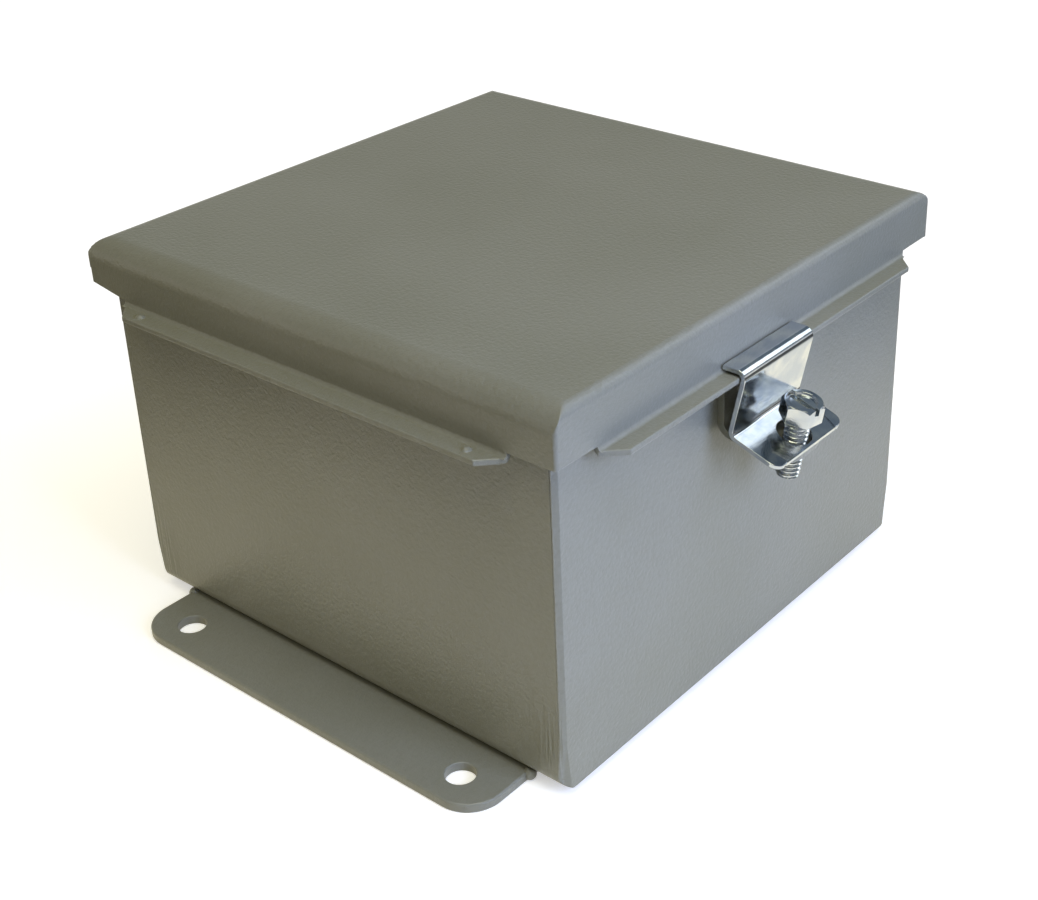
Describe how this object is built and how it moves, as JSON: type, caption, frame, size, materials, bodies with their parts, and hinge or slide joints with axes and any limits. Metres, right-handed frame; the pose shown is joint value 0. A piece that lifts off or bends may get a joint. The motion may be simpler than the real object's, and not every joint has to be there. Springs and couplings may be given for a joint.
{
  "type": "hinged-cover junction box enclosure",
  "caption": "Square painted steel junction box with wall-mounting feet, a gasketed cover on a continuous hinge and a screw clamp that holds the cover shut.",
  "frame": {"origin": "centre of the four mounting holes, at the underside of the feet", "axes": "+Z out of the box through the cover, -Y towards the clamp wall, +Y towards the hinge wall, -X and +X towards the feet"},
  "size_m": [0.1906, 0.1821, 0.11],
  "materials": {
    "paint": "fine-textured grey enamel",
    "zinc": "bright zinc plate",
    "gasket": "matt black sponge"
  },
  "bodies": {
    "box": {"body_wrap": "paint", "clamp_side_wall": "paint", "hinge_side_wall": "paint", "left_foot": "paint", "right_foot": "paint", "foot_welds": "paint", "panel_studs": "zinc", "clamp_bracket": "paint", "hinge_body_leaf": "paint", "hinge_pin": "zinc"},
    "cover": {"cover": "paint", "cover_gasket": "gasket", "hinge_cover_leaf": "paint"},
    "clamp": {"clamp": "zinc"},
    "screw": {"clamp_screw": "zinc"}
  },
  "joints": [
    {"name": "cover_hinge", "type": "hinge", "parent": "box", "child": "cover", "pos_m": [0, 0.07964, 0.09234], "axis": [-1, 0, 0], "range_deg": [0, 180]},
    {"name": "clamp_rock", "type": "hinge", "parent": "box", "child": "clamp", "pos_m": [-0.0046, -0.09652, 0.07255], "axis": [1, 0, 0], "range_deg": [0, 15]},
    {"name": "screw_turn", "type": "hinge", "parent": "box", "child": "screw", "pos_m": [-0.0046, -0.09249, 0.07489], "axis": [0, -0.1822, 0.9833], "continuous": true}
  ]
}
